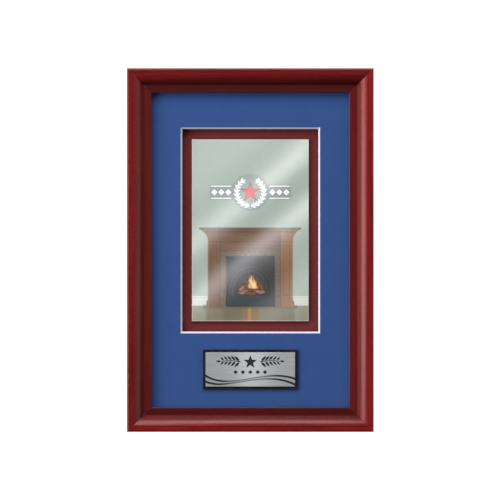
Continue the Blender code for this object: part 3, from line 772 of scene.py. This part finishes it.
def moulding_profile():
    """The moulding's section as (u, h): u from the outer edge inwards, h from the back face up."""
    slope = radians(SLOPE_DEGREES)
    rise = radians(RISE_DEGREES)
    crown_centre = (OUTER_ROUND, RAIL_DEPTH - OUTER_ROUND)
    shoulder_centre = (CROWN_END, RAIL_DEPTH - SHOULDER_ROUND)
    shoulder = arc(shoulder_centre, SHOULDER_ROUND, 90, 90 - SLOPE_DEGREES, 16)
    slope_foot = (SLOPE_END, shoulder[-1][1] - (SLOPE_END - shoulder[-1][0]) * tan(slope))
    cove_centre = (slope_foot[0] + COVE_ROUND * sin(slope), slope_foot[1] + COVE_ROUND * cos(slope))
    rise_centre = (cove_centre[0], cove_centre[1] - COVE_ROUND + RISE_ROUND)
    rise_end = (rise_centre[0] + RISE_ROUND * sin(rise), rise_centre[1] - RISE_ROUND * cos(rise))
    nose_start = RAIL_WIDTH - NOSE_ROUND * (1 + sin(rise))
    nose_height = rise_end[1] + (nose_start - rise_end[0]) * tan(rise)
    nose_centre = (RAIL_WIDTH - NOSE_ROUND, nose_height - NOSE_ROUND * cos(rise))
    points = [(BACK_CHAMFER, 0), (0, BACK_CHAMFER)]
    points += arc(crown_centre, OUTER_ROUND, 180, 90, 10)
    points += shoulder
    points += arc(cove_centre, COVE_ROUND, 270 - SLOPE_DEGREES, 270, 9)
    points += arc(rise_centre, RISE_ROUND, 270, 270 + RISE_DEGREES, 4)[1:]
    points += arc(nose_centre, NOSE_ROUND, 90 + RISE_DEGREES, 0, 8)
    points += [(RAIL_WIDTH, RABBET_DEPTH), (RAIL_WIDTH - RABBET_WIDTH, RABBET_DEPTH)]
    points += [(RAIL_WIDTH - RABBET_WIDTH, 0)]
    return points


def shrunk(points, by):
    """A closed outline, drawn clockwise, with every point moved in by the given distance."""
    moved = []
    for i, point in enumerate(points):
        before, here = Vector(points[i - 1]), Vector(point)
        after = Vector(points[(i + 1) % len(points)])
        sides = [(here - before).normalized(), (after - here).normalized()]
        normals = [Vector((side.y, -side.x)) for side in sides]
        inward = (normals[0] + normals[1]).normalized()
        moved.append(here + inward * by / max(inward.dot(normals[0]), 0.5))
    return [tuple(point) for point in moved]


def midpoints(outline):
    """The middle of each side of a closed outline."""
    following = outline[1:] + outline[:1]
    return [((u + next_u) / 2, (h + next_h) / 2) for (u, h), (next_u, next_h) in zip(outline, following)]


def profile_finish(u, h):
    """Which of a rail's finishes a place on its profile has. Only the front gets the full gloss."""
    if u >= BACK_CHAMFER and h <= RABBET_DEPTH:
        return BARE
    if u < BACK_CHAMFER and h < RAIL_DEPTH - OUTER_ROUND:
        return OUTSIDE
    if SLOPE_END < u < SLOPE_END + 1.1 * COVE_ROUND:
        return COVE
    return FRONT


def rail_mesh(length, across):
    """A bottom rail about the frame's middle: rings of the profile, closed by eased 45 degree ends."""
    profile = moulding_profile()
    finishes = [profile_finish(u, h) for u, h in midpoints(profile)]
    half = length / 2 - MITRE_GAP / sqrt(2)
    eases = [(0.0, MITRE_EASE), (0.3 * MITRE_EASE, 0.3 * MITRE_EASE), (MITRE_EASE, 0.0)]
    rings = []
    for end in (-1, 1):
        for back, shrink in eases[::-end]:
            outline = shrunk(profile, shrink)
            rings.append([(end * (half - u - back), -h, u - across / 2) for u, h in outline])
    mesh = skin(rings, lambda ring, side: finishes[side], capped=True)
    mesh.shade_smooth()
    mesh.set_sharp_from_angle(angle=radians(30))
    for face in mesh.polygons:
        # Faces square to an axis stay flat, so that the cuts in them look clean.
        face.use_smooth = max(abs(part) for part in face.normal) < 0.9999
    return mesh


def make_rails():
    """The four rails, each a bottom rail turned about the frame's middle, with its grain lengthwise."""
    low_x, high_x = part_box("frame_rail_left")[0].x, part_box("frame_rail_right")[1].x
    low_z, high_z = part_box("frame_rail_bottom")[0].z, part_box("frame_rail_top")[1].z
    wood_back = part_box("frame_rail_top")[1].y
    size = (high_x - low_x, high_z - low_z)
    # Each rail's tones are painted light: its wood and glaze are lighter or darker as light falls on its
    # side.
    for number, (side, (wood, glaze, cover)) in enumerate(RAIL_LIGHT_TONES.items()):
        length, across = size[::-1] if number % 2 else size
        offset = (137 * number, 23 * number, 41 * number)
        finishes = [
            mahogany("mahogany_" + side, offset, FRONT_COAT, wood, glaze, cover),
            bare_wood("bare_wood_" + side, offset),
            mahogany("mahogany_outside_" + side, offset, OUTSIDE_COAT, wood, glaze, 0.0),
            mahogany("mahogany_cove_" + side, offset, COVE_COAT, wood, glaze, cover),
        ]
        rail = add_object("moulding_" + side, rail_mesh(length, across), *finishes)
        rail.location = (0, wood_back, (low_z + high_z) / 2)
        rail.rotation_euler.y = radians(90 * number)
        cut(rail, rail_tools(side))
        place_piece(rail, "mahogany_lacquer", "frame_rail_" + side)


def rail_tools(side):
    """What is cut in a rail: slots for its V-nails, and bores for its screws or nails."""
    tools = []
    for node in sorted(NODES):
        if node.startswith("v_nail_") and side in node:
            mesh = mesh_copy(node, grow=SLOT_CLEARANCE)
            back = max(vertex.co.y for vertex in mesh.vertices)
            for vertex in mesh.vertices:
                if vertex.co.y > back - NEAR:
                    vertex.co.y += MM  # the slot is open at the back
            tools.append(add_object(node + "_slot", mesh))
    shank, radius = "turn_button_screw_" + side, SCREW_RADIUS
    if side == "top":
        shank, radius = "hanger_nail_", NAIL_RADIUS
    for node in sorted(node for node in NODES if node.startswith(shank)):
        low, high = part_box(node)
        depth = high.y - low.y + 2 * BORE_OVERRUN
        tools.append(bore_tool(node, (low + high) / 2, radius + BORE_CLEARANCE, depth))
    return tools


def bore_tool(node, middle, radius, depth):
    """A round cutter along Y."""
    along_y = Matrix.Rotation(radians(90), 4, "X")
    size = {"radius1": radius, "radius2": radius, "depth": depth}

    def fill(bm):
        bmesh.ops.create_cone(bm, cap_ends=True, segments=32, matrix=along_y, **size)

    return add_object(node + "_bore", mesh_from(fill), location=middle)


# The pack

def make_mat():
    """The window mat: coloured facing paper over a white core that shows at the 45 degree cut."""
    low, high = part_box("blue_window_mat")
    solid = NODES["blue_window_mat"].data
    front = [v.co for v in solid.vertices if abs(v.co.x) < high.x - MM and v.co.y < low.y + NEAR]
    half = max(co.x for co in front)
    bottom, top = min(co.z for co in front), max(co.z for co in front)
    under = low.y + FACING_THICK

    def corners(y, left, right, bottom, top):
        return [(left, y, bottom), (right, y, bottom), (right, y, top), (left, y, top)]

    def outside(y):
        return corners(y, low.x, high.x, low.z, high.z)

    def window(y, spread):
        return corners(y, -half - spread, half + spread, bottom - spread, top + spread)

    # Round the board's section. Each number is the finish of the face that follows: 0 is the facing
    # and 1 is the core.
    loops = (
        (outside(high.y), 1),
        (outside(under), 0),
        (outside(low.y), 0),
        *((window(low.y + depth, spread), 0) for depth, spread in KNIFE_EASE),
        (window(under, -FACING_THICK), 1),
        (window(high.y, low.y - high.y), 1),
    )
    mesh = skin([loop for loop, _ in loops], lambda ring, side: loops[ring][1])
    blue = board_paper("blue_mat_paper", rgb(*BLUE), rgb(*BLUE_FLECK))
    core = plain("mat_core", rgb(236, 234, 248), rgb(224, 222, 238), 0.5, 0.85)
    place_piece(add_object("window_mat", mesh, blue, core), "blue_mat", "blue_window_mat")


def rounded_plate(name, node, ease, *finishes):
    """A plate of a CAD node's size with rounded edges. Its origin is in its middle."""
    low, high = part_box(node)
    size = high - low
    mesh = mesh_from(lambda bm: bmesh.ops.create_cube(bm, size=1, matrix=Matrix.Diagonal((*size, 1))))
    plate = add_object(name, mesh, *finishes, location=(low + high) / 2)
    soften(plate, ease)
    return plate


def make_print_panel():
    panel = rounded_plate("print_panel_piece", "print_panel", PLATE_EASE, printed_panel())
    place_piece(panel, "gloss_print", "print_panel")


def leaf_outline(x, z, length, width, degrees):
    """A pointed leaf from (x, z) along the given direction."""
    steps = 8
    parts = [i / steps for i in range(steps + 1)]
    edge = [(length * t, width / 2 * sin(pi * t ** 0.85)) for t in parts]
    points = edge + [(along, -off) for along, off in reversed(edge[1:-1])]
    turn = Matrix.Rotation(radians(degrees), 2)
    return [tuple(Vector((x, z)) + turn @ Vector(point)) for point in points]


def star_outline(x, z, radius):
    points = []
    for i in range(10):
        reach = radius * (1 if i % 2 == 0 else STAR_NOTCH)
        angle = radians(90 + 36 * i)
        points.append((x + reach * cos(angle), z + reach * sin(angle)))
    return points


def ribbon_outline(points, widths):
    """A flowing line of changing width through points."""
    upper, lower = [], []
    for i, (point, width) in enumerate(zip(points, widths)):
        before = Vector(points[max(i - 1, 0)])
        after = Vector(points[min(i + 1, len(points) - 1)])
        side = (after - before).normalized()
        normal = Vector((-side.y, side.x)) * width / 2
        upper.append(tuple(Vector(point) + normal))
        lower.append(tuple(Vector(point) - normal))
    return upper + lower[::-1]


def wave_outlines(half):
    """Two lines across the plate, each a dip and then a rise, that run close together in the middle."""
    upper = ((-half, -5.8), (-20, -22), (14, 2), (half, -9.4))
    lower = ((-half, -11.6), (-24, -22), (14, 1), (half, -15.2))
    steps = 64
    outlines = []
    for corners in (upper, lower):
        points = interpolate_bezier(*[Vector(corner) for corner in corners], steps + 1)
        widths = [1.2 + 0.9 * abs(2 * i / steps - 1) ** 1.3 for i in range(steps + 1)]
        outlines.append(ribbon_outline([tuple(point) for point in points], widths))
    return outlines


def sprig_outlines(side):
    """A laurel sprig that lies away from the star: leaves in pairs along a thin bowed stem."""
    start, reach, pairs, steps = 9.6, 19.0, 5, 12

    def on_stem(t):
        return side * (start + reach * t), 7.4 + 1.2 * sin(pi * t * 6 / 7)

    points = [on_stem(i / steps) for i in range(steps + 1)]
    outlines = []
    for pair in range(pairs):
        t = (pair + 0.3) / pairs
        x, z = on_stem(t)
        size = 1 - 0.4 * t
        for lift in (1, -1):
            degrees = lift * (90 - side * 45)
            outlines.append(leaf_outline(x, z + lift * 0.6, 7.0 * size, 2.6 * size, degrees))
    widths = [0.9 - 0.4 * i / steps for i in range(steps + 1)]
    outlines.append(ribbon_outline(points, widths))
    tip_x, tip_z = points[-1]
    outlines.append(leaf_outline(tip_x + side * 0.4, tip_z, 4.6, 2.0, 0 if side > 0 else 180))
    return outlines


def engraving_outlines(half):
    """The nameplate's ornament: a star between laurel sprigs, a row of diamonds, and waves below."""
    outlines = [star_outline(0, 7.2, 6.9)]
    for side in (-1, 1):
        outlines += sprig_outlines(side)
    for place in range(-2, 3):
        x, z = 7.2 * place, -2.6
        outlines.append([(x + 2.2, z), (x, z + 2.0), (x - 2.2, z), (x, z - 2.0)])
    return outlines + wave_outlines(half)


def make_nameplate():
    black = rounded_plate("nameplate_black_piece", "nameplate_backplate", PLATE_EASE, gloss_black())
    place_piece(black, "black_plate", "nameplate_backplate")
    low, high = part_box("nameplate_face")
    half = (high.x - low.x) / 2 / MM
    outlines = [[(x * MM, z * MM) for x, z in outline] for outline in engraving_outlines(half + 0.5)]
    silver = rounded_plate("nameplate_silver_piece", "nameplate_face", FACE_EASE, brushed_silver())
    # The cutter reaches from the engraving's floor to in front of the plate.
    tool_mesh = outline_mesh(outlines, 2 * ENGRAVING_DEPTH)
    tool_mesh.transform(Matrix.Rotation(radians(90), 4, "X"))
    tool = add_object("engraving", tool_mesh, enamel(), location=silver.location)
    tool.location.y = low.y
    cut(silver, [tool], "TRANSFER")
    place_piece(silver, "brushed_silver", "nameplate_face")


# The hardware and the rest

def finish_hardware():
    zinc = plated("zinc_plating", rgb(196, 198, 200), rgb(150, 152, 156), 0.34)
    brass = plated("brass_plating", rgb(214, 178, 104), rgb(168, 130, 70), 0.3)
    steel = plated("v_nail_steel", rgb(150, 152, 158), rgb(104, 104, 110), 0.4)
    rubber = plain("bumper_rubber", rgb(30, 30, 31), rgb(44, 44, 45), 0.7, 0.75, 0.04)
    # A node is of the first kind that its name begins with.
    kinds = {
        "turn_button_screw_": (zinc, "zinc_plate", 0.08 * MM),
        "turn_button_": (zinc, "zinc_plate", 0),
        "hanger_nail_": (brass, "brass_plate", 0),
        "sawtooth_hanger": (brass, "brass_plate", 0.1 * MM),
        "wall_bumper_": (rubber, "bumper_rubber", 0),
        "v_nail_": (steel, "v_nail_steel", 0),
    }
    for node in sorted(NODES):
        kind = next((kind for kind in kinds if node.startswith(kind)), None)
        if kind == "turn_button_":
            finer_copy(node, *kinds[kind], body=node.replace("turn_button_", "button_"))
        elif kind:
            finer_copy(node, *kinds[kind])


def finish_plain_nodes():
    """CAD nodes that keep their own mesh: boards and tapes, mostly hidden in the pack."""
    finishes = {
        "hardboard_back": hardboard(),
        "maroon_board": board_paper("maroon_mat_paper", rgb(*MAROON), rgb(*MAROON_FLECK), (50, 0, 20)),
        "spacer_": plain("foam_board_paper", rgb(232, 232, 228), rgb(214, 214, 210), 1.2, 0.8),
        "_tape": plain("foam_tape_white", rgb(226, 226, 222), rgb(204, 204, 200), 0.4, 0.75, 0.05),
    }
    for node, obj in NODES.items():
        for key, finish in finishes.items():
            if key in node:
                obj.data.materials.clear()
                obj.data.materials.append(finish)


# The studio

def hide_from(obj, *rays):
    for ray in rays:
        setattr(obj, "visible_" + ray, False)


def make_light(name, target, azimuth, elevation, distance, width, height, radiance):
    """A softbox that faces the target, out of the camera's sight."""
    a, e = radians(azimuth), radians(elevation)
    way = Vector((sin(a) * cos(e), -cos(a) * cos(e), sin(e)))
    lamp = bpy.data.lights.new(name, "AREA")
    lamp.shape = "RECTANGLE"
    lamp.size = width
    lamp.size_y = height
    lamp.energy = radiance * pi * width * height
    light = add_object(name, lamp, location=target + way * distance)
    light.rotation_mode = "QUATERNION"
    light.rotation_quaternion = way.to_track_quat("Z", "Y")
    hide_from(light, "camera")


def grid_mesh(size, matrix=Matrix.Identity(4)):
    def fill(bm):
        bmesh.ops.create_grid(bm, x_segments=1, y_segments=1, size=size, matrix=matrix)

    return mesh_from(fill)


def make_card(name, centre, size, radiance, piece):
    """An upright glowing card, seen only in a piece's gloss. radiance(shade) is how bright its face is."""
    upright = Matrix.Rotation(radians(-90), 4, "X") @ Matrix.Diagonal((*size, 1, 1))
    shade = Shade(name)
    shade.tree.nodes.remove(shade.surface)
    glow = shade.add("Emission", 0, {"Strength": radiance(shade)})
    # The card is clear, so that it stands in no other light's way.
    glass = shade.add("BsdfTransparent")
    surface = shade.add("AddShader", 0, {0: glow, 1: glass})
    shade.feed(shade.tree.nodes["Material Output"].inputs["Surface"], surface)
    card = add_object(name, grid_mesh(0.5, upright), shade.material, location=centre)
    hide_from(card, "camera", "diffuse", "transmission", "volume_scatter", "shadow")
    lit = bpy.data.collections.new(name + "_lights")
    lit.objects.link(bpy.data.objects[piece])
    card.light_linking.receiver_collection = lit
    card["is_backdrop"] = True


def gleam_strength(shade):
    """Diagonal bands that rise to the right, and an even glow beyond them in the upper left."""
    x, _, z = shade.axes(shade.place())
    lean = radians(GLEAM_DEGREES)
    across = x * sin(lean) - z * cos(lean)
    start, full, strength = CORNER_GLOW
    total = shade.remap(across, start, full) * strength
    for middle, half, strength in GLEAMS:
        total = total + shade.bell(across, middle, half, 0.9) * strength
    fade = shade.remap(x, -50, 40, *GLEAM_FADE)
    return total * fade


def plate_strength(shade):
    """A soft upright band in the middle of the nameplate, over an even glow."""
    x, _, _ = shade.axes(shade.place())
    middle, half, strength = PLATE_GLEAM
    return shade.bell(x, middle, half) * strength + PLATE_GLOW


def make_world():
    """White to the camera, and dim to everything else: dark in front and below, brighter to the sides."""
    world = bpy.data.worlds.new("studio")
    world.use_nodes = True
    bpy.context.scene.world = world
    sky = Nodes(world.node_tree)
    x, y, z = sky.axes(sky.add("TexCoord", "Generated"))
    ways = ((x * -1, WORLD_LEFT), (x, WORLD_RIGHT), (z, WORLD_TOP), (y, WORLD_BACK))
    glow = WORLD_BASE
    for way, strength in ways:
        glow = glow + sky.maths("MAXIMUM", way, 0) ** 3 * strength
    seen = sky.add("LightPath", "Is Camera Ray") * BACKDROP
    background = world.node_tree.nodes["Background"]
    sky.feed(background.inputs["Strength"], sky.maths("MAXIMUM", glow, seen))
    sky.feed(background.inputs["Color"], (1, 1, 1))


def make_floor(height):
    """A pale floor that neither throws light back at the frame nor stands in a light's way."""
    finish = plain("pale_floor", rgb(240, 240, 240), rgb(236, 236, 236), 400, 0.8, 0)
    floor = add_object("floor", grid_mesh(3), finish, location=(0, 0, height))
    hide_from(floor, "diffuse", "glossy", "shadow")
    floor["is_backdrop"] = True


def make_camera(middle):
    """Square on to the front, as the picture is, and orthographic, so that no side face shows."""
    data = bpy.data.cameras.new("camera")
    data.type = "ORTHO"
    data.ortho_scale = VIEW_HEIGHT
    axis = middle + FRAMING
    camera = add_object("camera", data, location=(axis.x, -CAMERA_AWAY, axis.z))
    camera.rotation_euler.x = radians(90)
    bpy.context.scene.camera = camera


def make_cards():
    """The gleams on the print and on the nameplate."""
    low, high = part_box("print_panel")
    middle = (low + high) / 2
    wide, tall = GLEAM_CARD_SPREAD
    centre = (middle.x, GLEAM_CARD_Y, middle.z)
    size = ((high.x - low.x) * wide, (high.z - low.z) * tall)
    make_card("gleam_card", centre, size, gleam_strength, "print_panel_piece")
    low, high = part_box("nameplate_backplate")
    middle = (low + high) / 2
    centre = (middle.x, low.y - PLATE_CARD_AWAY, middle.z + PLATE_CARD_LIFT)
    make_card("plate_card", centre, PLATE_CARD_SIZE, plate_strength, "nameplate_silver_piece")


def make_studio(low, high):
    middle = (low + high) / 2
    make_camera(middle)
    make_floor(low.z - FLOOR_GAP)
    make_world()
    for name, numbers in SOFTBOXES.items():
        make_light(name, middle, *numbers)
    make_cards()
    bpy.context.scene.view_settings.view_transform = "Standard"


def main():
    make_rails()
    make_mat()
    make_print_panel()
    make_nameplate()
    finish_hardware()
    finish_plain_nodes()
    make_studio(*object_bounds())


main()
